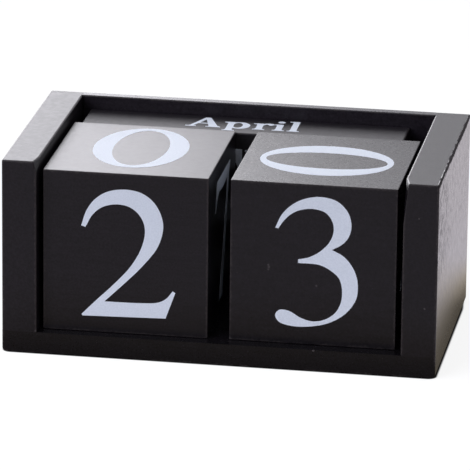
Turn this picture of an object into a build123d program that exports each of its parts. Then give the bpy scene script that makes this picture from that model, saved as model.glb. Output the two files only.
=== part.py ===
"""Perpetual desk calendar: two number cubes and three month bars standing in an open wooden tray.

Millimetres. +X runs along the tray from left to right, the open front faces -Y and +Z is up.
The origin is the middle of the tray's underside. The base board runs the full width, the two side
boards stand on it, and the thin back panel stands between them, flush with their rear ends.
"""
from build123d import *
import os

os.makedirs("parts", exist_ok=True)

# ---- number cubes ----
cube_edge = 50.0
cube_edge_round = 0.25
left_cube_turn = 0.26  # degrees, as it was put down by hand
left_cube_pull = 0.6  # the left cube stands this much nearer to the open front
right_cube_turn = -0.05

# ---- month bars, stacked behind the cubes ----
bar_section = 16.3
bar_edge_round = 0.5

# ---- clearances around the loose blocks ----
cube_front_recess = 4.5  # from the open front to the right cube
cube_left_gap = 1.15  # side board to left cube
cube_middle_gap = 6.65  # between the cubes
cube_right_gap = 2.2  # right cube to side board
cube_bar_gap = 0.45  # right cube to month bars
bar_back_gap = 0.45  # month bars to back panel
bar_left_gap = 2.7
bar_right_gap = 7.7
seat_gap = 0.05  # room for one printed face on the base board
stack_gap = 0.1  # room for two printed faces on each other

# ---- tray boards ----
base_thickness = 6.7
side_thickness = 10.5
side_rise = 3.35  # side boards above the top of the cubes
back_thickness = 3.3
base_foot_round = 1.3  # long bottom edges of the base board
base_front_round = 0.4
side_edge_round = 0.5
ease_along = 6.0  # the top inner corners at the open front are sanded off, this far along the boards
left_ease_across = 0.9
left_ease_down = 4.5
right_ease_across = 1.4
right_ease_down = 14.0
back_edge_round = 0.4
square_beside_panel = 2.8  # where the back panel meets them the side boards keep their square inner top edge

# ---- nails through the base board into the side boards ----
nail_radius = 0.6
nail_head_rim = 0.5
nail_head_thickness = 0.6
nail_length = 20.0
nail_point_length = 1.8
nail_point_radius = 0.1
nail_set = 0.5  # how far the heads are sunk above the underside
nail_hole_spare = 0.4
nail_end_inset = 12.0
nails_per_side = 3

# ---- worked out ----
inner_width = cube_left_gap + cube_edge + cube_middle_gap + cube_edge + cube_right_gap
tray_width = inner_width + 2 * side_thickness
blocks_depth = cube_edge + cube_bar_gap + bar_section
tray_depth = cube_front_recess + blocks_depth + bar_back_gap + back_thickness
seat_height = base_thickness + seat_gap
side_height = seat_gap + cube_edge + side_rise
tray_height = base_thickness + side_height
front = -tray_depth / 2
back = tray_depth / 2
inner_left = -inner_width / 2
inner_right = inner_width / 2
bar_length = inner_width - bar_left_gap - bar_right_gap
nail_head_radius = nail_radius + nail_head_rim
nail_row_gap = tray_width - side_thickness
nail_pitch = (tray_depth - 2 * nail_end_inset) / (nails_per_side - 1)
nail_hole_depth = nail_set + nail_length + nail_hole_spare
underside = Plane.XY.rotated((180, 0, 0))


def finish(builder, name):
    """Label a finished piece and write it to its own STEP file."""
    builder.part.label = name
    export_step(builder.part, f"parts/{name}.step")


# ---- base board ----
with BuildPart() as base_board:
    with BuildSketch(Plane.XY):
        Rectangle(tray_width, tray_depth)
    extrude(amount=base_thickness)
    underside_edges = base_board.faces().sort_by(Axis.Z)[0].edges()
    fillet(underside_edges.filter_by(Axis.Y), radius=base_foot_round)
    long_edges = base_board.edges().filter_by(Axis.X)
    fillet(long_edges.group_by(Axis.Z)[0], radius=base_front_round)
    with Locations(underside):
        with GridLocations(nail_row_gap, nail_pitch, 2, nails_per_side):
            CounterBoreHole(nail_radius, nail_head_radius, nail_set + nail_head_thickness)
finish(base_board, "base_board")


# ---- side boards ----
def make_side_board(name, side, ease_across, ease_down):
    """One upright side board, on the left (side -1) or on the right (side 1)."""
    inner_x = side * inner_width / 2
    middle_x = side * (inner_width + side_thickness) / 2
    outer_x = side * tray_width / 2
    with BuildPart() as side_board:
        with BuildSketch(Plane.XY.offset(base_thickness)):
            with Locations((middle_x, 0)):
                Rectangle(side_thickness, tray_depth)
        extrude(amount=side_height)
        into_board = (side / ease_across, 1 / ease_along, -1 / ease_down)
        eased = Plane(origin=(inner_x + side * ease_across, front, tray_height), z_dir=into_board)
        split(bisect_by=eased, keep=Keep.TOP)
        front_edges = side_board.faces().sort_by(Axis.Y)[0].edges()
        rear_edge = side_board.edges().filter_by(Axis.Z).sort_by_distance((outer_x, back, 0))[0]
        fillet(front_edges - front_edges.filter_by(Axis.X) + [rear_edge], radius=side_edge_round)
        fillet(side_board.faces().sort_by(Axis.Z)[-1].edges(), radius=side_edge_round)
        with Locations((inner_x, back - back_thickness, tray_height)):
            beside_panel = (Align.MIN if side > 0 else Align.MAX, Align.MIN, Align.MAX)
            Box(2 * side_edge_round, square_beside_panel, 2 * side_edge_round, align=beside_panel)
        with Locations(underside):
            with Locations((middle_x, 0)):
                with GridLocations(nail_row_gap, nail_pitch, 1, nails_per_side):
                    Hole(nail_radius, nail_hole_depth)
    finish(side_board, name)
    return side_board


left_side_board = make_side_board("left_side_board", -1, left_ease_across, left_ease_down)
right_side_board = make_side_board("right_side_board", 1, right_ease_across, right_ease_down)

# ---- back panel ----
with BuildPart() as back_panel:
    with BuildSketch(Plane.XZ.offset(-back)):
        with Locations((0, base_thickness + side_height / 2)):
            Rectangle(inner_width, side_height)
    extrude(amount=back_thickness)
    rim_edges = back_panel.faces().filter_by(Axis.Y).edges()
    fillet(rim_edges.group_by(Axis.Z)[1:], radius=back_edge_round)
finish(back_panel, "back_panel")

# ---- nails ----
with BuildPart() as base_nails:
    shank_length = nail_length - nail_point_length
    upwards = (Align.CENTER, Align.CENTER, Align.MIN)
    with GridLocations(nail_row_gap, nail_pitch, 2, nails_per_side):
        with Locations((0, 0, nail_set)):
            Cylinder(nail_head_radius, nail_head_thickness, align=upwards)
            Cylinder(nail_radius, shank_length, align=upwards)
        with Locations((0, 0, nail_set + shank_length)):
            Cone(nail_radius, nail_point_radius, nail_point_length, align=upwards)
finish(base_nails, "base_nails")


# ---- number cubes ----
def make_number_cube(name, centre_x, centre_y, turn):
    """One loose cube standing on the base board, turned a little about its upright axis."""
    seat = Plane(origin=(centre_x, centre_y, seat_height)).rotated((0, 0, turn))
    with BuildPart() as cube:
        with BuildSketch(seat):
            Rectangle(cube_edge, cube_edge)
        extrude(amount=cube_edge)
        fillet(cube.edges(), radius=cube_edge_round)
    finish(cube, name)
    return cube


left_cube_x = inner_left + cube_left_gap + cube_edge / 2
right_cube_x = inner_right - cube_right_gap - cube_edge / 2
right_cube_y = front + cube_front_recess + cube_edge / 2
left_cube_y = right_cube_y - left_cube_pull
left_number_cube = make_number_cube("left_number_cube", left_cube_x, left_cube_y, left_cube_turn)
right_number_cube = make_number_cube("right_number_cube", right_cube_x, right_cube_y, right_cube_turn)

# ---- month bars ----
bar_x = inner_left + bar_left_gap + bar_length / 2
bar_y = back - back_thickness - bar_back_gap - bar_section / 2
for level, name in enumerate(("month_bar_bottom", "month_bar_middle", "month_bar_top")):
    bar_seat = Plane(origin=(bar_x, bar_y, seat_height + level * (bar_section + stack_gap)))
    with BuildPart() as month_bar:
        with BuildSketch(bar_seat):
            Rectangle(bar_length, bar_section)
        extrude(amount=bar_section)
        fillet(month_bar.edges(), radius=bar_edge_round)
    finish(month_bar, name)
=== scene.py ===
"""How the desk calendar looks: satin black painted wood, printed numbers and months, bright wire nails.

Metres, in the frame of the CAD model: +X runs from left to right, the open front faces -Y, +Z is up.
Where a comment says millimetres, the values are used with a place in millimetres, or multiplied by MM.
"""

import math

import bmesh
import bpy
from mathutils import Matrix, Vector
from mathutils.geometry import delaunay_2d_cdt


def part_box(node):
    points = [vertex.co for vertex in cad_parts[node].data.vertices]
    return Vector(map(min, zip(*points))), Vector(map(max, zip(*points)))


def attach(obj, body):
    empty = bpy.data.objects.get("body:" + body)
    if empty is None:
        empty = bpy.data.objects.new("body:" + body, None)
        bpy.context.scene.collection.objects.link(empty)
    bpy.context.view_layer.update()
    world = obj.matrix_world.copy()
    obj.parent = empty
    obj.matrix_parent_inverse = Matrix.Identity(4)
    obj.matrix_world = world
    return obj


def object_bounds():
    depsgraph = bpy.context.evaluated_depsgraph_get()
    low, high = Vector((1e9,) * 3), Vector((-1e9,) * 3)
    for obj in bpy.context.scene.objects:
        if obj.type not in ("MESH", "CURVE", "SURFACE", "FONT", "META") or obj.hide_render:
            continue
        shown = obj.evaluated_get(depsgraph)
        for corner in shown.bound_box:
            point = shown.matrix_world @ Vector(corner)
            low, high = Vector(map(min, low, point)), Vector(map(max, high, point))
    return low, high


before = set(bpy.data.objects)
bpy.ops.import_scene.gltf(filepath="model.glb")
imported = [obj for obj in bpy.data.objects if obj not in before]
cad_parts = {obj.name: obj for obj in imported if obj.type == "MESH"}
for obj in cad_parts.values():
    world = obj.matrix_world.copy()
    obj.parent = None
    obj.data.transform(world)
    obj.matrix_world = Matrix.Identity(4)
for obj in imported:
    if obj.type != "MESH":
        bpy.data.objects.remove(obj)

MM = 0.001
cad_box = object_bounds()

# ---- camera ----
CAMERA_TURN = math.radians(9.277)  # to the right of straight in front
CAMERA_TILT = math.radians(72.048)  # from looking straight down
CAMERA_ROLL = math.radians(0.628)
CAMERA_LENS = 395.37
CAMERA_SENSOR = 36.0
CAMERA_DISTANCE = 1562.8 * MM
CAMERA_AIM = Vector((-0.58, -3.55, 29.99)) * MM

# ---- sky and lamps ----
SKY_WHITE = 1.0  # the sky's strength for the camera and in gloss
SKY_AMBIENT = 0.19  # and as it lights matt surfaces
SKY_DIMS = (0.4, 0.7)  # towards the front it falls off over this range of directions
FRONT_DIM = 0.06  # to this share, as the floor's paleness does
WHITE = (1, 1, 1, 1)
LIGHT_CAST = (0.985, 0.975, 1.03)
COOL_CAST = (0.97, 0.98, 1.05)
FILL_CAST = (0.96, 0.97, 1.09)

# ---- floor ----
FLOOR_SIZE = 8.0
FLOOR_GLOW = 0.87  # for the camera
FLOOR_SEEN = (0.22, 0.22, 0.22, 1)  # for the camera too: the lamps light this, and the object shades it
FLOOR_NEAR = (0.90, 0.87, 0.90, 1)  # as it lights the object
FLOOR_FRONT = (0.1, 0.1, 0.1, 1)  # the same, further to the front
FLOOR_DIMS = (0.05, 0.08)  # metres to the front, between which it changes
# in gloss the floor is darker and warmer near the object: this shade is drawn by place, not cast
FLOOR_IN_GLOSS = (0.36, 0.31, 0.235, 1)
SHADE_GLOW = 0.13
CLEAR_GLOW = 0.76  # what it glows more where it is clear of the shade
WARM_CAST = (1.0, 0.87, 0.68, 1)  # in the shade
PALE_CAST = (1.0, 0.96, 1.09, 1)  # clear of it
CAST_POWER = 3.0  # the warm cast lasts longer than the shade's darkness
# the shade's reach, in millimetres
SHADE_DEEP = 6.0  # in front of the object and behind it, the shade is deep up to here
SHADE_FADE = 45.0  # and fades over this length
SHADE_BESIDE = (6.0, 16.5)  # beside the object it fades between these distances
SHADE_MIDDLE = -2.6  # from this place along the side
SHADE_STRETCH = 5.6  # and it reaches this many times further along the side
# the painted contact shadow: a dark line at the foot and under the object, drawn by place too, in millimetres
PAINTED_CONTACT_SHADOW = (0.02, 0.02, 0.02, 1)
CONTACT_EDGE = (-0.1, 0.6)  # it ends between these distances
CONTACT_ROUND = 2.5  # the radius of its corners
CONTACT_TAPER = 0.7  # how much thinner it is at the rear corners
TAPER_ALONG = (27.0, 37.0)  # it gets thinner between these places

# ---- paint ----
BLACK = (0.0077, 0.0064, 0.0084)
BLACK_SHARES = (0.6, 1.3)  # of this colour, in the darkest and the lightest speckles
RUBBED_WOOD = (0.026, 0.022, 0.023, 1)
CHIPPED_WOOD = (0.055, 0.048, 0.05, 1)
PAINT_IOR = 1.5
PAINT_TINT = (0.27, 0.27, 0.27, 1)  # of its reflections
NOISE_SPAN = (0.3, 0.7)  # most of a noise lies in this range
SPECKLE_SPAN = (0.35, 0.65)
FINE_SHARE = 0.75  # of the fine noise in the speckles: the rest of them follow the fibres
ALONG_GRAIN = 0.12  # how dense the fibres are along the grain, against across it
# millimetres
MOTTLE_HEIGHT = 0.04
FIBRE_HEIGHT = 0.01
STIPPLE_HEIGHT = 0.022
RAGGED = 1.6  # how far the stipple moves the limit of the rubbed paint
RUBBED_LIMIT = (0.15, 0.75)  # distances from an edge: rubbed in full up to the first, sound from the second
RUBBED_ROUGHER = 0.04
CHIP_RAGGED = 0.3  # a share of the stipple's move
CHIP_LIMIT = (0.6, 1.2)  # shares of a chip's radius

# ---- the side board that hands have handled, in millimetres ----
OUTER_SKIN = (0.6, 0.2)  # depths at which nothing and everything counts as the outer face
SCUFFED_ALONG = (-34.0, 4.0)  # scuffed in full before the first place
SCUFFED_REAR = 0.25  # and this much behind the second
SCUFFED_UP = (26.0, 36.0)  # not at all below the first height and in full above the second
SCUFF_HEIGHT = 0.3
STREAK_STRETCH = (1, 1.3, 0.8)
MATT_STREAKS = (0.5, 0.62)  # the range of noise over which a streak turns matt
MATT_ROUGHER = 0.16
WORN_NARROWER = 1.8  # the worn line is this many times narrower on top than on the side
WORN_WANDER = (-2.6, 0.9)  # times a noise, and added to it, gives how far the line wanders
WORN_RAGGED = 0.7  # a share of the stipple's move
WORN_LIMIT = (0.3, 0.7)
WORN_ROUGHER = 0.7

# ---- ink and wire ----
INK_THIN = (0.69, 0.745, 0.82, 1)
INK_FULL = (0.76, 0.815, 0.89, 1)
INK_ROUGHNESS = 0.5
INK_IOR = 1.35
INK_HEIGHT = 0.01
STEEL = (0.6, 0.6, 0.6, 1)
STEEL_ROUGHNESS = (0.25, 0.4)
WIRE_LINE_HEIGHT = 0.01
ALONG_WIRE = 0.1  # how dense the lines are along the wire, against across it


def make_camera():
    """The camera, which looks down a little at the front and the right side."""
    data = bpy.data.cameras.new("camera")
    data.lens = CAMERA_LENS
    data.sensor_width = CAMERA_SENSOR
    camera = bpy.data.objects.new("camera", data)
    turn = Matrix.Rotation(CAMERA_TURN, 4, "Z")
    tilt = Matrix.Rotation(CAMERA_TILT, 4, "X")
    roll = Matrix.Rotation(CAMERA_ROLL, 4, "Z")
    facing = turn @ tilt @ roll
    place = CAMERA_AIM + facing.to_3x3() @ Vector((0, 0, CAMERA_DISTANCE))
    camera.matrix_world = Matrix.Translation(place) @ facing
    bpy.context.scene.collection.objects.link(camera)
    bpy.context.scene.camera = camera


class Nodes:
    """A node tree, with short calls that add a node and join it to others."""

    def __init__(self, tree):
        self.tree = tree
        tree.nodes.clear()

    def add(self, kind, inputs=None, **settings):
        """A new node. inputs gives each socket, by name or number, a value or another node's output."""
        node = self.tree.nodes.new(kind)
        for key, value in settings.items():
            setattr(node, key, value)
        for key, value in (inputs or {}).items():
            self.feed(node.inputs[key], value)
        return node

    def feed(self, socket, value):
        """Gives a socket a value, or joins it to another node's output."""
        if isinstance(value, bpy.types.NodeSocket):
            self.tree.links.new(value, socket)
        else:
            socket.default_value = value

    def math(self, operation, *values, clamp=False):
        """The output of a Math node."""
        node = self.add("ShaderNodeMath", operation=operation, use_clamp=clamp)
        for socket, value in zip(node.inputs, values):
            self.feed(socket, value)
        return node.outputs[0]

    def vector(self, operation, *values, output="Vector"):
        """The output of a Vector Math node."""
        node = self.add("ShaderNodeVectorMath", dict(enumerate(values)), operation=operation)
        return node.outputs[output]

    def measure(self, operation, *values):
        """The same for LENGTH and DISTANCE, which give a number."""
        return self.vector(operation, *values, output="Value")

    def length(self, across, along):
        """The length of a flat vector."""
        return self.measure("LENGTH", self.add("ShaderNodeCombineXYZ", {"X": across, "Y": along}).outputs[0])

    def split(self, place):
        """The three coordinates of a place."""
        return self.add("ShaderNodeSeparateXYZ", {0: place}).outputs

    def millimetres(self):
        """The place on the object, in millimetres."""
        spot = self.add("ShaderNodeTexCoord").outputs["Object"]
        scaled = self.add("ShaderNodeVectorMath", {0: spot, "Scale": 1 / MM}, operation="SCALE")
        return scaled.outputs[0]

    def ramp(self, value, low, high, start=0.0, end=1.0):
        """value between low and high, smoothly turned into start to end."""
        node = self.add(
            "ShaderNodeMapRange",
            {0: value, 1: low, 2: high, 3: start, 4: end},
            interpolation_type="SMOOTHSTEP",
        )
        return node.outputs[0]

    def noise(self, place, scale, detail=2.0, roughness=0.6, stretch=(1, 1, 1), seed=0.0):
        """Noise between 0 and 1, with scale in lumps per millimetre."""
        mapping = self.add(
            "ShaderNodeMapping",
            {"Vector": place, "Location": (seed, 2.3 * seed, 3.7 * seed), "Scale": stretch},
        )
        node = self.add(
            "ShaderNodeTexNoise",
            {"Vector": mapping.outputs[0], "Scale": scale, "Detail": detail, "Roughness": roughness},
        )
        return node.outputs[0]

    def blend(self, share, first, second):
        """first where share is 0 and second where it is 1, as colours."""
        node = self.add("ShaderNodeMix", data_type="RGBA")
        self.feed(node.inputs[0], share)
        self.feed(node.inputs[6], first)
        self.feed(node.inputs[7], second)
        return node.outputs[2]

    def surface(self, height, distance, **inputs):
        """Ends the tree in a Principled surface that is raised by height times distance.

        inputs names its sockets, with an underscore for each space.
        """
        bump = self.add("ShaderNodeBump", {"Height": height, "Strength": 1.0, "Distance": distance})
        sockets = {name.replace("_", " "): value for name, value in inputs.items()}
        shader = self.add("ShaderNodeBsdfPrincipled", {**sockets, "Normal": bump.outputs[0]})
        self.add("ShaderNodeOutputMaterial", {"Surface": shader.outputs[0]})


def new_material(name):
    """An empty material and its node tree."""
    material = bpy.data.materials.new(name)
    material.use_nodes = True
    return material, Nodes(material.node_tree)


def dress(node, material):
    """Gives a CAD node its material."""
    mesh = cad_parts[node].data
    mesh.materials.clear()
    mesh.materials.append(material)


def ray_kinds(nodes):
    """(1 for rays from the camera, 1 for rays off gloss or through glass). Each is 0 for all other rays."""
    path = nodes.add("ShaderNodeLightPath").outputs
    return path["Is Camera Ray"], nodes.math("MAXIMUM", path["Is Glossy Ray"], path["Is Transmission Ray"])


def in_front(nodes, place, start, end):
    """1, but FRONT_DIM far to the front, where the dim room is: between start and end it falls off."""
    across, along, _ = nodes.split(place)
    front = nodes.math("SUBTRACT", nodes.math("MULTIPLY", along, -1.0), nodes.math("ABSOLUTE", across))
    return nodes.ramp(front, start, end, 1.0, FRONT_DIM)


def make_world():
    """A plain soft sky that looks white."""
    world = bpy.data.worlds.new("studio")
    world.use_nodes = True
    bpy.context.scene.world = world
    nodes = Nodes(world.node_tree)
    way = nodes.add("ShaderNodeTexCoord").outputs["Generated"]
    ambient = nodes.math("MULTIPLY", in_front(nodes, way, *SKY_DIMS), SKY_AMBIENT)
    camera, glossy = ray_kinds(nodes)
    seen = nodes.math("MAXIMUM", camera, glossy)
    unseen = nodes.math("MULTIPLY", nodes.math("SUBTRACT", 1.0, seen), ambient)
    strength = nodes.math("MULTIPLY_ADD", seen, SKY_WHITE, unseen)
    colour = nodes.blend(camera, LIGHT_CAST + (1,), WHITE)
    sky = nodes.add("ShaderNodeBackground", {"Color": colour, "Strength": strength})
    nodes.add("ShaderNodeOutputWorld", {"Surface": sky.outputs[0]})


def clear_of_shade(nodes, across, along, spot):
    """From 0 in the drawn shade near the object to 1 where the floor is clear of it, for gloss."""
    away = nodes.math("SUBTRACT", nodes.math("MAXIMUM", across, along), SHADE_DEEP * MM)
    away = nodes.math("DIVIDE", away, SHADE_FADE * MM, clamp=True)
    lengthways = nodes.math("DIVIDE", nodes.math("SUBTRACT", spot[1], SHADE_MIDDLE * MM), SHADE_STRETCH)
    beside = nodes.ramp(nodes.length(across, lengthways), *(limit * MM for limit in SHADE_BESIDE))
    is_beside = nodes.math("GREATER_THAN", across, 0.0)
    clear = nodes.math("MULTIPLY", is_beside, beside)
    return nodes.math("MULTIPLY_ADD", nodes.math("SUBTRACT", 1.0, is_beside), away, clear)


def clear_of_contact(nodes, across, along, spot):
    """From 0 under the object and on the painted contact shadow, a dark line at its foot, to 1 on the open
    floor.
    """
    start, end = (place * MM for place in TAPER_ALONG)
    taper = nodes.ramp(spot[1], start, end, 0.0, CONTACT_TAPER * MM)
    past = (nodes.math("ADD", across, taper), along)
    past = [nodes.math("MAXIMUM", nodes.math("ADD", way, CONTACT_ROUND * MM), 0.0) for way in past]
    past = nodes.math("SUBTRACT", nodes.length(*past), CONTACT_ROUND * MM)
    return nodes.ramp(past, *(limit * MM for limit in CONTACT_EDGE))


def floor_paper():
    """The floor's material: it looks white, keeps the object's faint shadow and has a painted contact shadow,
    a dark line, at its foot.
    """
    material, nodes = new_material("pale_floor")
    camera, glossy = ray_kinds(nodes)
    place = nodes.add("ShaderNodeTexCoord").outputs["Object"]
    dim = in_front(nodes, place, *FLOOR_DIMS)
    spot = nodes.split(place)
    across = nodes.math("SUBTRACT", nodes.math("ABSOLUTE", spot[0]), cad_box[1].x)
    along = nodes.math("SUBTRACT", nodes.math("ABSOLUTE", spot[1]), cad_box[1].y)
    clear = clear_of_shade(nodes, across, along, spot)
    is_open = clear_of_contact(nodes, across, along, spot)

    shine = nodes.math("MULTIPLY_ADD", clear, CLEAR_GLOW, SHADE_GLOW)
    seen = nodes.math("MULTIPLY", camera, FLOOR_GLOW)
    glow = nodes.math("ADD", seen, nodes.math("MULTIPLY", glossy, shine))
    # the painted contact shadow darkens the floor's glow too
    glow = nodes.math("MULTIPLY", glow, is_open)
    cast = nodes.blend(nodes.math("POWER", clear, CAST_POWER), WARM_CAST, PALE_CAST)
    cast = nodes.blend(glossy, WHITE, cast)

    colour = nodes.blend(dim, FLOOR_FRONT, FLOOR_NEAR)
    colour = nodes.blend(glossy, colour, FLOOR_IN_GLOSS)
    colour = nodes.blend(camera, colour, FLOOR_SEEN)
    # painted contact shadow: the floor's colour is dark at the object's foot and under it
    colour = nodes.blend(is_open, PAINTED_CONTACT_SHADOW, colour)
    paper = nodes.add("ShaderNodeBsdfDiffuse", {"Color": colour})
    light = nodes.add("ShaderNodeEmission", {"Color": cast, "Strength": glow})
    both = nodes.add("ShaderNodeAddShader", {0: paper.outputs[0], 1: light.outputs[0]})
    nodes.add("ShaderNodeOutputMaterial", {"Surface": both.outputs[0]})
    return material


def make_floor():
    """A plain pale floor."""
    mesh = bpy.data.meshes.new("floor")
    half = FLOOR_SIZE / 2
    corners = [(-half, -half, 0), (half, -half, 0), (half, half, 0), (-half, half, 0)]
    mesh.from_pydata(corners, [], [(0, 1, 2, 3)])
    mesh.materials.append(floor_paper())
    floor = bpy.data.objects.new("floor", mesh)
    bpy.context.scene.collection.objects.link(floor)


def softbox(name, centre, target, width, height, radiance, cast, sheen_only=False):
    """A rectangular lamp of even brightness, which the camera doesn't see."""
    data = bpy.data.lights.new(name, "AREA")
    data.shape = "RECTANGLE"
    data.size = width
    data.size_y = height
    data.energy = radiance * 4 * width * height
    data.color = cast
    lamp = bpy.data.objects.new(name, data)
    aim = Vector(target) - Vector(centre)
    lamp.matrix_world = Matrix.Translation(centre) @ aim.to_track_quat("-Z", "Y").to_matrix().to_4x4()
    lamp.visible_camera = False
    lamp.visible_diffuse = not sheen_only
    bpy.context.scene.collection.objects.link(lamp)


def distance_to_edge(nodes, place, low, high, turn):
    """How far a place on a box is from the box's nearest edge. turn is for a cube, about its upright axis."""
    half = (high - low) / 2
    if turn:  # the box round a turned cube is a little wider than the cube
        half = Vector((half.z, half.z, half.z))
    inside = nodes.vector("SUBTRACT", place, (low + high) / 2)
    turned = {"Vector": inside, "Angle": -turn}
    inside = nodes.add("ShaderNodeVectorRotate", turned, rotation_type="Z_AXIS").outputs[0]
    inside = nodes.split(nodes.vector("SUBTRACT", half, nodes.vector("ABSOLUTE", inside)))
    smaller = nodes.math("MINIMUM", inside[0], inside[1])
    larger = nodes.math("MAXIMUM", inside[0], inside[1])
    return nodes.math("MAXIMUM", smaller, nodes.math("MINIMUM", larger, inside[2]))


def handled_side(nodes, place, high, ragged, seed):
    """How much (higher, rougher) handling has made a board's outer face. high is the board's upper corner.

    The upper part is scuffed in streaks, most towards the front. The paint is worn along a wandering line at
    the outer top edge.
    """
    spot = nodes.split(place)
    outside = nodes.ramp(spot[0], *(high.x - depth for depth in OUTER_SKIN))
    scuffed = nodes.ramp(spot[1], *SCUFFED_ALONG, 1.0, SCUFFED_REAR)
    scuffed = nodes.math("MULTIPLY", scuffed, nodes.ramp(spot[2], *SCUFFED_UP))
    scuffed = nodes.math("MULTIPLY", scuffed, outside)
    streaks = nodes.noise(place, scale=0.5, detail=1.0, roughness=0.5, stretch=STREAK_STRETCH, seed=seed + 11)
    higher = nodes.math("MULTIPLY", nodes.math("MULTIPLY", scuffed, streaks), SCUFF_HEIGHT)
    matt = nodes.math("MULTIPLY", scuffed, nodes.ramp(streaks, *MATT_STREAKS))

    to_side = nodes.math("MULTIPLY", nodes.math("SUBTRACT", high.x, spot[0]), WORN_NARROWER)
    to_line = nodes.math("MAXIMUM", to_side, nodes.math("SUBTRACT", high.z, spot[2]))
    wander = nodes.noise(place, scale=0.3, roughness=0.7, seed=seed + 13)
    wander = nodes.math("MULTIPLY_ADD", wander, *WORN_WANDER)
    wander = nodes.math("MULTIPLY_ADD", ragged, WORN_RAGGED, wander)
    worn = nodes.ramp(nodes.math("ADD", to_line, wander), *WORN_LIMIT, 1.0, 0.0)
    rougher = nodes.math("MULTIPLY_ADD", worn, WORN_ROUGHER, nodes.math("MULTIPLY", matt, MATT_ROUGHER))
    return higher, rougher


def paint(
    node,
    grain,
    seed,
    gloss=(0.26, 0.30),
    turn=0.0,
    covered=(0, 0, 0, 0, 0, 0),
    relief=1.0,
    shade=1.0,
    wear=(0.42, 0.62),
    chips=(),
    handled=False,
):
    """Satin black paint on a wooden piece: brushed, a little grainy, rubbed at the edges and chipped.

    grain is the axis along which the fibres run. seed moves the piece's noises, and what is added to it keeps
    them apart. gloss is the range of the roughness. covered says how much further out the three lower and the
    three upper faces count as being, in millimetres, where their edges lie against other pieces. relief
    multiplies the heights. shade multiplies the colour: painted light or painted shade, paint made lighter or
    darker where the piece gets more or less light. wear is the range of noise over which the edges are
    rubbed:
    the higher it is, the less of them. chips are (x, y, z, radius) in millimetres. handled is for a board
    whose right-hand face is scuffed by hands.
    """
    material, nodes = new_material(f"{node}_paint")
    place = nodes.millimetres()
    low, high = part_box(node)
    low = low / MM - Vector(covered[:3])
    high = high / MM + Vector(covered[3:])
    to_edge = distance_to_edge(nodes, place, low, high, turn)

    mottle = nodes.noise(place, scale=0.16, detail=1.0, roughness=0.5, seed=seed)
    stretch = [ALONG_GRAIN if axis == grain else 1.0 for axis in "XYZ"]
    fibres = nodes.noise(place, scale=1.1, stretch=stretch, seed=seed + 5)
    stipple = nodes.noise(place, scale=1.1, seed=seed + 9)
    fine = nodes.noise(place, scale=1.6, detail=3.0, roughness=0.8, seed=seed + 15)
    clouds = nodes.noise(place, scale=0.5, seed=seed + 3)
    patches = nodes.noise(place, scale=0.13, seed=seed + 7)

    height = nodes.math("MULTIPLY", mottle, MOTTLE_HEIGHT * relief)
    height = nodes.math("ADD", height, nodes.math("MULTIPLY", fibres, FIBRE_HEIGHT * relief))
    height = nodes.math("ADD", height, nodes.math("MULTIPLY", stipple, STIPPLE_HEIGHT * relief))
    # shade makes the paint lighter or darker: painted light or painted shade
    black = [tuple(share * shade * c for c in BLACK) + (1,) for share in BLACK_SHARES]
    speckles = nodes.math("MULTIPLY_ADD", fibres, 1 - FINE_SHARE, nodes.math("MULTIPLY", fine, FINE_SHARE))
    colour = nodes.blend(nodes.ramp(speckles, *SPECKLE_SPAN), *black)
    roughness = nodes.ramp(clouds, *NOISE_SPAN, *gloss)

    ragged = nodes.math("MULTIPLY", nodes.math("SUBTRACT", stipple, 0.5), RAGGED)
    rubbed = nodes.ramp(nodes.math("ADD", to_edge, ragged), *RUBBED_LIMIT, 1.0, 0.0)
    rubbed = nodes.math("MULTIPLY", rubbed, nodes.ramp(patches, *wear))
    colour = nodes.blend(rubbed, colour, RUBBED_WOOD)
    roughness = nodes.math("MULTIPLY_ADD", rubbed, RUBBED_ROUGHER, roughness)
    for *centre, radius in chips:
        reach = nodes.math("MULTIPLY_ADD", ragged, CHIP_RAGGED, nodes.measure("DISTANCE", place, centre))
        chipped = nodes.ramp(reach, *(share * radius for share in CHIP_LIMIT), 1.0, 0.0)
        colour = nodes.blend(chipped, colour, CHIPPED_WOOD)
    if handled:
        higher, rougher = handled_side(nodes, place, high, ragged, seed)
        height = nodes.math("ADD", height, higher)
        roughness = nodes.math("ADD", roughness, rougher)
    nodes.surface(height, MM, Base_Color=colour, Roughness=roughness, IOR=PAINT_IOR, Specular_Tint=PAINT_TINT)
    dress(node, material)


def printed_ink():
    """Matt off-white ink, a little thin and grainy."""
    material, nodes = new_material("printed_ink")
    grain = nodes.noise(nodes.millimetres(), scale=2.2, detail=3.0)
    colour = nodes.blend(nodes.ramp(grain, *NOISE_SPAN), INK_THIN, INK_FULL)
    nodes.surface(grain, INK_HEIGHT * MM, Base_Color=colour, Roughness=INK_ROUGHNESS, IOR=INK_IOR)
    return material


def bright_wire():
    """Bright steel wire, drawn along its length."""
    material, nodes = new_material("bright_wire")
    lines = nodes.noise(nodes.millimetres(), scale=5.0, roughness=0.5, stretch=(1, 1, ALONG_WIRE))
    roughness = nodes.ramp(lines, *NOISE_SPAN, *STEEL_ROUGHNESS)
    nodes.surface(lines, WIRE_LINE_HEIGHT * MM, Base_Color=STEEL, Metallic=1.0, Roughness=roughness)
    return material


# ---- lettering ----
# Outlines are in millimetres. A glyph is a list of parts, and a part is (outlines, holes cut in them).
FILM_PROUD = 0.03  # how far the printed ink stands above the paint
FILM_SUNK = 0.01  # how far it reaches into the paint
CURVE_STEPS = 6  # short lines for each stretch of a curve
ROUND_STEPS = 40  # and for each ellipse
INSIDE_ONLY = 1  # the triangulation keeps what is inside the outlines
WELD = 1e-5

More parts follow.
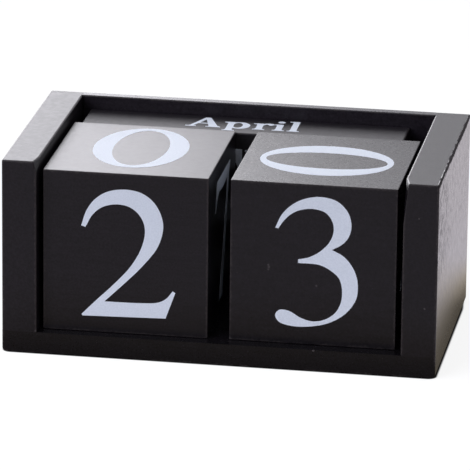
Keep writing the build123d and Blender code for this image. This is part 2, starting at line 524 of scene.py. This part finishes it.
# the months' bold letters
STEM = 2.0
CAP_HEIGHT = 10.0
X_HEIGHT = 6.4
ASCENDER = 10.2
DESCENDER = -2.6
SERIF_THICKNESS = 0.5
SERIF_BRACKET = 0.9
SERIF_BEND = 0.2  # how far up its bracket the serif bends, as a share
SERIF_FLARE = 0.3  # and how far from the stem
STEM_LEFT = 1.25
ARCH_SERIF = 1.8  # half the width of the lower serifs of h and n
ARCH_SPAN = 4.0  # from one stem's right side to the next one's in h, n and u
ARCH_STEM_TOP = 4.0  # the stem under a shoulder reaches up to here
BASELINE = 4.75  # above the lower edge of the bar's face

# the cubes' tall figures
FIGURE_FOOT = 4.9
FIGURE_TOP = 45.4
FIGURE_STEM = 6.6
C = "corner"  # marks a corner of an outline


def through(points):
    """A smooth line through the points (centripetal Catmull-Rom), without its last point."""
    padded = [2 * points[0] - points[1]] + points + [2 * points[-1] - points[-2]]
    line = []
    for before, start, end, after in zip(padded, padded[1:], padded[2:], padded[3:]):
        gaps = [math.sqrt((q - p).length) for p, q in ((before, start), (start, end), (end, after))]
        leave = (start - before) / gaps[0] - (end - before) / (gaps[0] + gaps[1])
        leave = gaps[1] * (leave + (end - start) / gaps[1])
        arrive = (end - start) / gaps[1] - (after - start) / (gaps[1] + gaps[2])
        arrive = gaps[1] * (arrive + (after - end) / gaps[2])
        for step in range(CURVE_STEPS):
            t = step / CURVE_STEPS
            bent = (2 * start - 2 * end + leave + arrive) * t**3
            bent += (3 * end - 3 * start - 2 * leave - arrive) * t**2
            line.append(start + leave * t + bent)
    return line


def closed(*points):
    """A closed outline through the points, smooth but for those marked as corners. The first is a corner."""
    places = [Vector(p[:2]) for p in points] + [Vector(points[0][:2])]
    corners = [n for n, p in enumerate(points) if p[2:]] + [len(points)]
    line = []
    for start, end in zip(corners, corners[1:]):
        line += [places[start]] if end == start + 1 else through(places[start : end + 1])
    return [tuple(p) for p in line]


def oval(x, y, across, up):
    """An ellipse, from its centre and half its width and height."""
    angles = [2 * math.pi * n / ROUND_STEPS for n in range(ROUND_STEPS)]
    return [(x + across * math.cos(a), y + up * math.sin(a)) for a in angles]


def stroke(*stations):
    """The outline of a pen stroke through stations of (x, y, width)."""
    stations = [Vector(s) for s in stations]
    line = through(stations) + stations[-1:]
    left = []
    right = []
    for n, station in enumerate(line):
        along = line[min(n + 1, len(line) - 1)] - line[max(n - 1, 0)]
        side = Vector((-along.y, along.x)).normalized() * station.z / 2
        left.append((station.x + side.x, station.y + side.y))
        right.append((station.x - side.x, station.y - side.y))
    return left + right[::-1]


def block(left, bottom, right, top):
    """A rectangle."""
    return [(left, bottom), (right, bottom), (right, top), (left, top)]


def serif(x, y, left, right, up=1, stem=STEM):
    """A bracketed serif across the end of a stem whose middle is at x. up is -1 on top of a stem."""
    lip = y + up * SERIF_THICKNESS
    root = lip + up * SERIF_BRACKET
    bend = lip + up * SERIF_BEND * SERIF_BRACKET
    return [
        (x - left, y),
        (x + right, y),
        (x + right, lip),
        (x + stem / 2 + SERIF_FLARE, bend),
        (x + stem / 2, root),
        (x - stem / 2, root),
        (x - stem / 2 - SERIF_FLARE, bend),
        (x - left, lip),
    ]


def flag(left, top):
    """The slanted half serif on the left of a small letter's stem."""
    return [
        (left - 1.15, top - 0.15), (left + 0.6, top), (left + 0.6, top - 1.5), (left, top - 1.5),
        (left - 0.2, top - 0.85), (left - 1.15, top - 0.7),
    ]


def small_stem(left, bottom=0.0, top=X_HEIGHT, foot=1.9, head=True):
    """A small letter's stem with its serifs. foot is half the width of the lower serif, or 0."""
    outlines = [block(left, bottom, left + STEM, top)]
    if foot:
        outlines.append(serif(left + STEM / 2, bottom, foot, foot))
    if head:
        outlines.append(flag(left, top))
    return outlines


def bowl(x, across=3.15, stem_side=-0.25):
    """A small letter's round, thick at its sides and thin at top and bottom."""
    middle = X_HEIGHT / 2
    outer = oval(x, middle, across, middle + 0.12)
    inner = oval(x + stem_side, middle, across - 1.9, middle - 0.6)
    return ([outer], [inner])


def arch(left, right):
    """The shoulder that joins a stem whose right side is at left to the stem whose right side is at right."""
    return stroke(
        (left - 0.6, 4.3, 0.5), (left + 0.7, 5.9, 0.8), (left + 1.9, 6.1, 1.3), (right - 1.05, 4.6, STEM),
        (right - 1.05, 3.0, STEM),
    )


def arched(top):
    """A small letter of two stems that are joined by a shoulder. The left stem reaches up to top."""
    right = STEM_LEFT + STEM + ARCH_SPAN
    left_stem = small_stem(STEM_LEFT, 0, top, foot=ARCH_SERIF)
    right_stem = small_stem(right - STEM, 0, ARCH_STEM_TOP, foot=ARCH_SERIF, head=False)
    return [(left_stem + right_stem + [arch(STEM_LEFT + STEM, right)], [])]


def letter_a():
    leg = [(4.8, 9.5), (6.4, 9.5), (10.1, 0.3), (7.1, 0.3)]
    hair = [(4.8, 9.5), (5.6, 7.9), (2.1, 0.3), (0.9, 0.3)]
    feet = [
        block(-0.2, 0, 3.1, 0.6), block(6.1, 0, 10.7, 0.6), block(0.9, 0.3, 2.3, 1.0),
        block(6.9, 0.3, 10.2, 1.0),
    ]
    return [([leg, hair, block(2.5, 3.2, 7.9, 3.9)] + feet, [])]


def letter_d():
    stem = [block(1.3, 0, 3.8, CAP_HEIGHT), serif(2.55, 0, 2.5, 1.5), serif(2.55, CAP_HEIGHT, 2.5, 1.5, -1)]
    half = CAP_HEIGHT / 2
    left_half = block(-3, -1, 2.6, CAP_HEIGHT + 1)
    return [(stem, []), ([oval(3.4, half, 6.1, half)], [oval(3.4, half, 3.5, half - 0.75), left_half])]


def letter_f():
    stem = [block(1.3, 0, 3.8, CAP_HEIGHT), serif(2.55, 0, 2.5, 2.5), serif(2.55, CAP_HEIGHT, 2.5, 2.5, -1)]
    arms = [
        block(3.5, CAP_HEIGHT - 0.7, 9.0, CAP_HEIGHT),
        [(9.0, CAP_HEIGHT), (9.1, 6.9), (8.6, 6.9), (7.4, CAP_HEIGHT - 0.6)],
        block(3.5, 4.9, 6.6, 5.6),
        [(6.8, 3.7), (6.8, 6.8), (6.3, 6.8), (5.6, 5.4), (5.6, 5.1), (6.3, 3.7)],
    ]
    return [(stem + arms, [])]


def letter_j():
    stem = [block(3.35, 3.0, 5.75, CAP_HEIGHT), serif(4.55, CAP_HEIGHT, 2.5, 2.2, -1)]
    hook = stroke((4.55, 3.4, 2.4), (4.3, 1.2, 1.9), (3.0, 0.15, 0.9), (1.5, 0.9, 0.7))
    return [(stem + [hook, oval(1.6, 1.7, 1.1, 1.1)], [])]


def letter_m():
    legs = [block(1.6, 0, 2.4, CAP_HEIGHT), block(9.3, 0, 11.8, CAP_HEIGHT)]
    slants = [
        [(1.6, CAP_HEIGHT), (4.4, CAP_HEIGHT), (7.3, 2.0), (5.6, 0.0)],
        [(5.6, 0.0), (6.6, 2.3), (9.9, CAP_HEIGHT), (10.4, 8.5)],
    ]
    ends = [
        serif(2.0, 0, 1.9, 1.9, stem=0.8),
        serif(10.55, 0, 2.3, 2.4),
        block(0.1, CAP_HEIGHT - 0.5, 3.0, CAP_HEIGHT),
        block(9.6, CAP_HEIGHT - 0.5, 13.0, CAP_HEIGHT),
    ]
    return [(legs + slants + ends, [])]


def letter_n():
    legs = [block(1.6, 0, 2.4, CAP_HEIGHT), block(8.1, 0, 8.9, CAP_HEIGHT)]
    slant = [(1.5, CAP_HEIGHT), (4.3, CAP_HEIGHT), (8.9, 1.2), (8.9, -0.1), (8.2, -0.1)]
    ends = [
        serif(2.0, 0, 1.9, 1.9, stem=0.8),
        block(0.1, CAP_HEIGHT - 0.5, 2.6, CAP_HEIGHT),
        serif(8.5, CAP_HEIGHT, 1.9, 1.9, -1, stem=0.8),
    ]
    return [(legs + [slant] + ends, [])]


def letter_o():
    half = CAP_HEIGHT / 2
    return [([oval(4.9, half, 4.9, half + 0.15)], [oval(4.9, half, 2.6, half - 0.6)])]


def letter_s():
    spine = stroke(
        (6.6, 7.2, 0.5), (5.9, 9.0, 0.6), (4.1, 9.75, 0.9), (1.9, 8.2, 1.7), (3.0, 5.9, 2.3),
        (5.3, 4.5, 2.5), (6.2, 2.3, 1.9), (4.0, 0.2, 0.9), (2.0, 1.0, 0.6), (1.1, 2.9, 0.5),
    )
    return [([spine, block(6.3, 6.9, 6.9, 10.0), block(0.8, 0.0, 1.4, 3.2)], [])]


def small_a():
    top = stroke((1.6, 4.9, 0.9), (2.2, 6.0, 0.8), (3.7, 6.3, 0.9), (5.1, 5.0, STEM), (5.15, 3.0, STEM))
    tail = stroke((5.2, 1.4, 1.7), (5.9, 0.4, 1.0), (7.2, 0.7, 0.5))
    body = [top, block(4.1, 1.2, 6.2, 4.0), tail, oval(1.9, 4.9, 1.05, 1.0)]
    return [(body, []), ([oval(3.0, 1.9, 2.65, 2.0)], [oval(3.35, 1.9, 0.95, 1.3)])]


def small_b():
    return [(small_stem(STEM_LEFT, 0, ASCENDER, foot=0), []), bowl(4.7)]


def small_c():
    outlines, holes = bowl(3.6, 3.2, 0.3)
    return [(outlines, holes + [[(4.2, 3.2), (7.4, 5.6), (7.4, 1.6)]]), ([oval(5.5, 4.9, 0.95, 0.95)], [])]


def small_e():
    outlines, holes = bowl(3.6, 3.2, 0.3)
    return [(outlines, holes + [[(3.7, 3.2), (7.4, 3.2), (7.4, 1.5)]]), ([block(1.8, 3.1, 6.5, 3.8)], [])]


def small_g():
    upper = ([oval(3.5, 4.4, 2.9, 2.3)], [oval(3.5, 4.4, 1.1, 1.7)])
    lower = ([oval(3.7, -0.9, 3.4, 1.75)], [oval(3.7, -0.9, 2.5, 0.95)])
    link = stroke((1.9, 2.6, 0.8), (1.5, 1.4, 1.0), (2.6, 0.7, 1.2), (5.2, 0.3, 1.4))
    ear = [stroke((5.3, 5.8, 0.6), (6.3, 6.5, 0.6)), oval(6.6, 6.2, 0.6, 0.6)]
    return [upper, lower, ([link] + ear, [])]


def small_h():
    return arched(ASCENDER)


def small_i():
    return [(small_stem(STEM_LEFT) + [oval(STEM_LEFT + STEM / 2, 8.8, 1.15, 0.95)], [])]


def small_l():
    return [(small_stem(STEM_LEFT, 0, ASCENDER), [])]


def small_m():
    middle = STEM_LEFT + STEM + 3.9
    right = middle + 3.9
    stems = small_stem(STEM_LEFT, foot=1.75)
    for end in (middle, right):
        stems += small_stem(end - STEM, 0, ARCH_STEM_TOP, foot=1.75, head=False)
    return [(stems + [arch(STEM_LEFT + STEM, middle), arch(middle, right)], [])]


def small_n():
    return arched(X_HEIGHT)


def small_o():
    return [bowl(3.5, 3.3, 0.0)]


def small_p():
    return [(small_stem(STEM_LEFT, DESCENDER), []), bowl(5.0, 3.35, -0.45)]


def small_r():
    ear = stroke((2.9, 4.4, 0.5), (3.8, 6.0, 0.9), (5.2, 6.4, 1.1))
    return [(small_stem(STEM_LEFT) + [ear, oval(5.45, 5.85, 0.95, 0.95)], [])]


def small_s():
    spine = stroke(
        (4.9, 4.8, 0.4), (4.4, 5.9, 0.6), (3.0, 6.35, 0.8), (1.7, 5.1, 1.4), (3.0, 3.5, 1.7),
        (4.5, 1.8, 1.5), (3.0, 0.25, 0.8), (1.5, 0.8, 0.6), (0.9, 2.1, 0.4),
    )
    return [([spine, block(4.6, 4.5, 5.1, 6.5), block(0.6, 0.1, 1.1, 2.3)], [])]


def small_t():
    hook = stroke((2.3, 2.4, STEM), (2.6, 0.9, 1.6), (3.8, 0.35, 0.8), (4.9, 1.2, 0.5))
    stem = [(STEM_LEFT, 2.0), (STEM_LEFT + STEM, 2.0), (STEM_LEFT + STEM, 8.6), (STEM_LEFT, 7.0)]
    return [([stem, hook, block(0.1, X_HEIGHT - 0.75, 4.8, X_HEIGHT)], [])]


def small_u():
    right = STEM_LEFT + STEM + ARCH_SPAN
    left_stem = small_stem(STEM_LEFT, 2.0, foot=0)
    right_stem = small_stem(right - STEM, 0, foot=0)
    cup = stroke((2.3, 2.4, STEM), (2.7, 0.9, 1.5), (4.1, 0.45, 0.9), (5.6, 1.6, 0.5))
    return [(left_stem + right_stem + [cup, block(right - 0.6, 0, right + 1.1, 0.55)], [])]


def small_v():
    legs = [
        [(1.0, X_HEIGHT), (3.4, X_HEIGHT), (5.0, 2.0), (4.3, -0.1), (3.8, -0.1)],
        [(3.8, -0.1), (4.3, -0.1), (6.9, X_HEIGHT), (6.1, X_HEIGHT)],
    ]
    ends = [block(0.1, X_HEIGHT - 0.5, 4.3, X_HEIGHT), block(5.0, X_HEIGHT - 0.5, 7.9, X_HEIGHT)]
    return [(legs + ends, [])]


def small_y():
    tail = stroke((4.6, 1.2, 0.9), (3.8, -0.9, 0.8), (2.6, -2.1, 0.9), (1.6, -1.9, 0.8))
    outlines, holes = small_v()[0]
    return [(outlines + [tail, oval(1.6, -1.6, 0.9, 0.85)], holes)]


# each letter's drawing and the room it takes in a word
LETTERS = {
    "A": (letter_a, 11.2), "D": (letter_d, 10.6), "F": (letter_f, 10.0), "J": (letter_j, 8.5),
    "M": (letter_m, 13.8), "N": (letter_n, 11.0), "O": (letter_o, 10.7), "S": (letter_s, 8.2),
    "a": (small_a, 7.9), "b": (small_b, 9.0), "c": (small_c, 7.3), "e": (small_e, 7.6),
    "g": (small_g, 7.8), "h": (small_h, 9.1), "i": (small_i, 4.6), "l": (small_l, 5.1),
    "m": (small_m, 13.0), "n": (small_n, 9.3), "o": (small_o, 7.7), "p": (small_p, 9.0),
    "r": (small_r, 6.1), "s": (small_s, 6.2), "t": (small_t, 5.5), "u": (small_u, 9.1),
    "v": (small_v, 8.1), "y": (small_y, 8.3),
}


def figure_zero():
    return [([oval(24.85, 27.0, 14.4, 20.25)], [oval(24.85, 27.0, 8.3, 18.0)])]


def figure_broad_zero():
    return [([oval(25.6, 25.1, 14.95, 20.2)], [oval(25.7, 25.1, 7.95, 18.4)])]


def figure_foot(left, reach):
    """The bracketed foot of an upright stem whose left side is at left."""
    right = left + FIGURE_STEM
    return closed(
        (left - reach, FIGURE_FOOT, C), (right + reach, FIGURE_FOOT, C), (right + reach, 6.5, C),
        (right + 2.8, 7.2), (right, 10.0, C), (left, 10.0, C), (left - 2.8, 7.2), (left - reach, 6.5, C),
    )


def figure_one():
    left = 22.6
    hook = closed(
        (left, FIGURE_TOP, C), (20.5, 42.6), (15.0, 40.8, C), (15.0, 39.2, C), (19.5, 39.4), (23.2, 38.2, C),
        (23.2, FIGURE_TOP, C),
    )
    return [([block(left, FIGURE_FOOT, left + FIGURE_STEM, FIGURE_TOP), hook, figure_foot(left, 8.1)], [])]


def figure_two():
    return [([closed(
        (11.6, 33.2, C), (13.2, 38.0), (15.7, 41.6), (19.6, 44.2), (25.5, 45.15), (30.5, 44.0), (34.2, 40.8),
        (36.4, 35.0), (35.0, 28.2), (30.2, 21.5), (25.2, 16.2), (18.7, 9.75, C), (30.0, 9.9), (35.0, 10.4),
        (37.4, 11.7), (39.4, 14.2, C), (40.2, 13.7, C), (37.3, 5.5, C), (12.0, 4.9, C), (11.8, 5.4, C),
        (16.3, 10.1), (21.4, 15.2), (26.6, 21.2), (29.8, 27.1), (30.9, 31.8), (30.5, 35.0), (28.8, 37.9),
        (26.0, 39.85), (22.2, 40.4), (18.0, 39.3), (15.0, 36.7), (12.9, 32.8, C),
    )], [])]


def figure_three():
    return [([closed(
        (13.5, 36.0, C), (15.5, 40.3), (19.0, 43.8), (23.0, 45.7), (27.3, 46.3), (32.0, 45.2), (35.2, 42.0),
        (36.3, 38.0), (35.5, 34.3), (33.4, 31.8), (30.6, 30.1, C), (34.3, 28.1), (37.4, 24.0), (38.5, 19.5),
        (38.0, 15.0), (35.0, 10.5), (30.0, 7.2), (24.0, 5.7), (18.5, 5.6), (14.9, 6.7), (13.8, 8.8),
        (15.1, 10.4), (18.0, 10.2), (21.5, 8.3), (25.2, 7.4), (29.2, 8.4), (32.3, 11.1), (33.8, 15.5),
        (33.0, 21.0), (30.3, 23.6), (26.8, 25.2), (20.5, 25.4, C), (20.5, 26.5, C), (24.0, 27.5),
        (27.3, 29.6), (29.9, 32.6), (31.0, 36.0), (30.5, 39.0), (28.5, 41.5), (25.5, 42.4), (22.0, 42.2),
        (18.5, 40.7), (16.0, 38.2), (14.4, 35.8, C),
    )], [])]


def figure_four():
    left = 26.0
    slant = closed(
        (9.5, 15.5, C), (9.5, 17.4, C), (27.4, FIGURE_TOP, C), (32.6, FIGURE_TOP, C), (32.6, 40.0, C),
        (26.0, 36.5, C), (13.8, 17.4, C),
    )
    stem = block(left, FIGURE_FOOT + 1.5, left + FIGURE_STEM, FIGURE_TOP)
    return [([slant, stem, figure_foot(left, 6.5), block(9.5, 15.5, 40.5, 17.4)], [])]


def figure_five():
    flag_part = closed(
        (15.0, FIGURE_TOP, C), (25.0, 43.9), (34.5, FIGURE_TOP, C), (31.0, 40.0), (24.0, 39.0),
        (15.0, 41.0, C),
    )
    round_part = closed(
        (15.0, 24.0, C), (20.0, 28.6), (26.5, 30.0), (33.5, 27.8), (37.8, 22.0), (37.9, 15.0), (34.5, 9.2),
        (28.5, 5.6), (21.0, 4.6), (14.5, 6.2), (12.0, 9.8), (13.4, 13.0), (16.6, 12.8), (18.9, 9.8),
        (22.5, 7.0), (27.0, 7.6), (30.4, 12.0), (31.2, 18.0), (29.4, 24.2), (25.5, 27.4), (20.5, 26.8),
        (16.6, 24.0, C),
    )
    return [([flag_part, block(15.0, 24.0, 16.6, FIGURE_TOP), round_part], [])]


def figure_six():
    ring = ([oval(25.5, 18.0, 13.5, 13.4)], [oval(25.5, 18.0, 7.2, 11.7)])
    sweep = closed(
        (12.1, 16.5, C), (13.0, 27.0), (17.4, 36.0), (24.5, 42.8), (32.5, FIGURE_TOP, C), (33.0, 44.6, C),
        (26.6, 40.6), (21.6, 34.0), (18.8, 26.0), (18.3, 17.0, C),
    )
    return [ring, ([sweep, oval(33.0, 41.8, 3.4, 3.4)], [])]


def figure_seven():
    return [([closed(
        (12.9, 35.2, C), (14.7, 41.4), (16.1, 44.1, C), (39.9, 44.1, C), (37.9, 40.5), (36.6, 36.5),
        (35.2, 31.5), (33.6, 26.5), (31.7, 20.5), (29.3, 13.0), (27.2, 4.9, C), (21.0, 4.9, C), (23.4, 12.0),
        (26.6, 19.0), (29.6, 26.5), (31.9, 32.6), (33.9, 38.0), (34.7, 40.2, C), (26.6, 39.6),
        (19.4, 40.0, C), (16.7, 38.3), (14.6, 36.4), (13.4, 35.0, C),
    )], [])]


def figure_eight():
    upper = ([oval(25, 35.7, 11.6, 9.9)], [oval(25.3, 36.0, 6.2, 8.0)])
    lower = ([oval(25, 16.2, 14.0, 11.6)], [oval(24.8, 16.0, 7.9, 9.6)])
    return [upper, lower]


def anticlockwise(outline):
    """The outline's points in anticlockwise order."""
    area = sum(a[0] * b[1] - b[0] * a[1] for a, b in zip(outline, outline[1:] + outline[:1]))
    return outline if area > 0 else outline[::-1]


def film(name, glyph, placement, body, ink):
    """A thin printed glyph, as a closed mesh. placement takes its millimetres to their place in metres."""
    points = []
    faces = []
    kept_in = []
    cut_from = []
    for outlines, holes in glyph:
        part_faces = []
        for outline in outlines + holes:
            start = len(points)
            points += [Vector(p) for p in anticlockwise(outline)]
            part_faces.append(len(faces))
            faces.append(list(range(start, len(points))))
        kept_in.append(set(part_faces[: len(outlines)]))
        cut_from.append(set(part_faces[len(outlines) :]))
    flat, _, triangles, _, _, sources = delaunay_2d_cdt(points, [], faces, INSIDE_ONLY, WELD)
    mesh = bmesh.new()
    upper = [mesh.verts.new((p.x, p.y, FILM_PROUD)) for p in flat]
    lower = [mesh.verts.new((p.x, p.y, -FILM_SUNK)) for p in flat]
    for corners, source in zip(triangles, sources):
        inside = set(source)
        if any(inside & kept and not inside & cut for kept, cut in zip(kept_in, cut_from)):
            mesh.faces.new([upper[c] for c in corners])
            mesh.faces.new([lower[c] for c in reversed(corners)])
    twin = dict(zip(upper, lower))
    for edge in [e for e in mesh.edges if e.is_boundary and e.verts[0] in twin]:
        first, second = edge.verts
        if edge.link_loops[0].vert != first:
            first, second = second, first
        mesh.faces.new([second, first, twin[first], twin[second]])
    bmesh.ops.delete(mesh, geom=[v for v in mesh.verts if not v.link_faces], context="VERTS")
    mesh.transform(placement)
    data = bpy.data.meshes.new(name)
    mesh.to_mesh(data)
    mesh.free()
    data.materials.append(ink)
    piece = bpy.data.objects.new(name, data)
    bpy.context.scene.collection.objects.link(piece)
    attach(piece, body)


def moved(outlines, across):
    """Outlines moved to the right."""
    return [[(x + across, y) for x, y in outline] for outline in outlines]


def word(text):
    """A word's glyph, which starts at x = 0, and its length."""
    parts = []
    start = 0.0
    for letter in text:
        drawing, room = LETTERS[letter]
        parts += [(moved(outlines, start), moved(holes, start)) for outlines, holes in drawing()]
        start += room
    return parts, start


def face_placement(right, up, corner):
    """Takes a face's plane in millimetres, with x to the right and y up as seen from outside, to metres."""
    right = Vector(right)
    up = Vector(up)
    out = right.cross(up)
    turn = Matrix((right, up, out)).transposed().to_4x4()
    return Matrix.Translation(corner) @ turn @ Matrix.Scale(MM, 4)


# ---- the blocks' faces ----
X = Vector((1, 0, 0))
Y = Vector((0, 1, 0))
Z = Vector((0, 0, 1))
# how each face is read: (to the right, up)
FACES = {
    "front": (X, Z),
    "right": (Y, Z),
    "back": (-X, Z),
    "left": (-Y, Z),
    "top": (X, Y),
    "top_turned": (-Y, X),
    "bottom": (X, -Y),
}
LEFT_CUBE_TURN = math.radians(0.26)
RIGHT_CUBE_TURN = math.radians(-0.05)
LEFT_FIGURES = {
    "front": figure_two,
    "top": figure_zero,
    "right": figure_seven,
    "left": figure_six,
    "back": figure_one,
    "bottom": figure_eight,
}
RIGHT_FIGURES = {
    "front": figure_three,
    "top_turned": figure_broad_zero,
    "right": figure_four,
    "left": figure_five,
    "back": figure_two,
    "bottom": figure_one,
}
BAR_FACES = ("front", "top", "back", "bottom")
BAR_MONTHS = {
    "bottom": ("September", "October", "November", "December"),
    "middle": ("May", "June", "July", "August"),
    "top": ("January", "April", "March", "February"),
}


def print_cube(side, turn, figures, ink):
    """Prints one figure on each face of a cube."""
    low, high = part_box(f"{side}_number_cube")
    centre = (low + high) / 2
    half = (high.z - low.z) / 2
    about_centre = Matrix.Translation(centre) @ Matrix.Rotation(turn, 4, "Z")
    for face, figure in figures.items():
        right, up = FACES[face]
        out = right.cross(up)
        corner = (out - right - up) * half
        name = f"{side}_cube_{face}_{figure.__name__}"
        film(name, figure(), about_centre @ face_placement(right, up, corner), f"{side}_cube", ink)


def print_bar(level, months, ink):
    """Prints a month on the front, top, back and underside of a bar."""
    low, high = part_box(f"month_bar_{level}")
    centre = (low + high) / 2
    half = (high - low) / 2
    for month, face in zip(months, BAR_FACES):
        right, up = FACES[face]
        out = right.cross(up)
        glyph, length = word(month)
        corner = centre + (out - up) * half.z - right * length * MM / 2 + up * BASELINE * MM
        film(f"{level}_bar_{month.lower()}", glyph, face_placement(right, up, corner), f"{level}_bar", ink)


make_camera()
make_world()
make_floor()
# each lamp's name, centre, target, width, height, radiance and cast
softbox("key", (-0.83, 1.12, 0.75), (-0.02, 0, 0.1), 1.5, 1.3, 2.8, LIGHT_CAST, sheen_only=True)
softbox("top", (-0.36, -0.1, 1.2), (0, 0, 0.05), 0.6, 1.1, 2.4, COOL_CAST)
softbox("side", (0.95, -0.35, 1.05), (0, 0, 0.05), 0.5, 0.5, 1.5, COOL_CAST)
softbox("fill", (-1.0, -1.45, 0.9), (0, 0, 0.03), 1.2, 1.2, 3.55, FILL_CAST)

# each piece's node, grain, seed and range of roughness
# the base's paint is darker (shade=0.65): painted shade for the dim light near the floor
paint(
    "base_board", "X", 1.0, (0.24, 0.28), covered=(0, 0, 0, 0, 0, 20), relief=0.5, shade=0.65,
    chips=[(28.9, -37.5, 6.6, 0.4)],
)
paint(
    "left_side_board", "Y", 2.0, (0.33, 0.37), covered=(0, 0, 20, 0, 0, 0), wear=(0.2, 0.4),
    chips=[(-55.1, -37.5, 7.1, 0.45)],
)
paint(
    "right_side_board", "Y", 3.0, (0.22, 0.26), covered=(0, 0, 20, 0, 0, 0), wear=(0.3, 0.5),
    chips=[(59.7, -37.55, 49.6, 0.25), (61.9, -37.55, 21.8, 0.3)], handled=True,
)
# the back panel's paint is lighter (shade=2.0): painted light for the light that falls on its inner face
paint("back_panel", "X", 4.0, covered=(20, 0, 20, 20, 0, 0), shade=2.0)
paint(
    "left_number_cube", "X", 5.0, (0.28, 0.30), turn=LEFT_CUBE_TURN, relief=0.4, wear=(0.25, 0.45),
    chips=[(-3.8, -33.4, 56.65, 0.5), (-41.0, -33.4, 56.7, 0.3)],
)
paint(
    "right_number_cube", "X", 6.0, turn=RIGHT_CUBE_TURN, wear=(0.3, 0.5),
    chips=[
        (2.9, -33.0, 6.9, 0.7), (28.9, -33.05, 25.3, 0.3), (14.4, -33.05, 31.0, 0.3),
        (14.5, -33.05, 30.3, 0.35), (14.4, -33.05, 29.6, 0.3),
    ],
)
for bar_seed, bar_level in enumerate(BAR_MONTHS, 7):
    paint(f"month_bar_{bar_level}", "X", float(bar_seed), (0.40, 0.44))
dress("base_nails", bright_wire())

ink = printed_ink()
print_cube("left", LEFT_CUBE_TURN, LEFT_FIGURES, ink)
print_cube("right", RIGHT_CUBE_TURN, RIGHT_FIGURES, ink)
for bar_level, bar_months in BAR_MONTHS.items():
    print_bar(bar_level, bar_months, ink)

bpy.context.scene.view_settings.view_transform = "Standard"
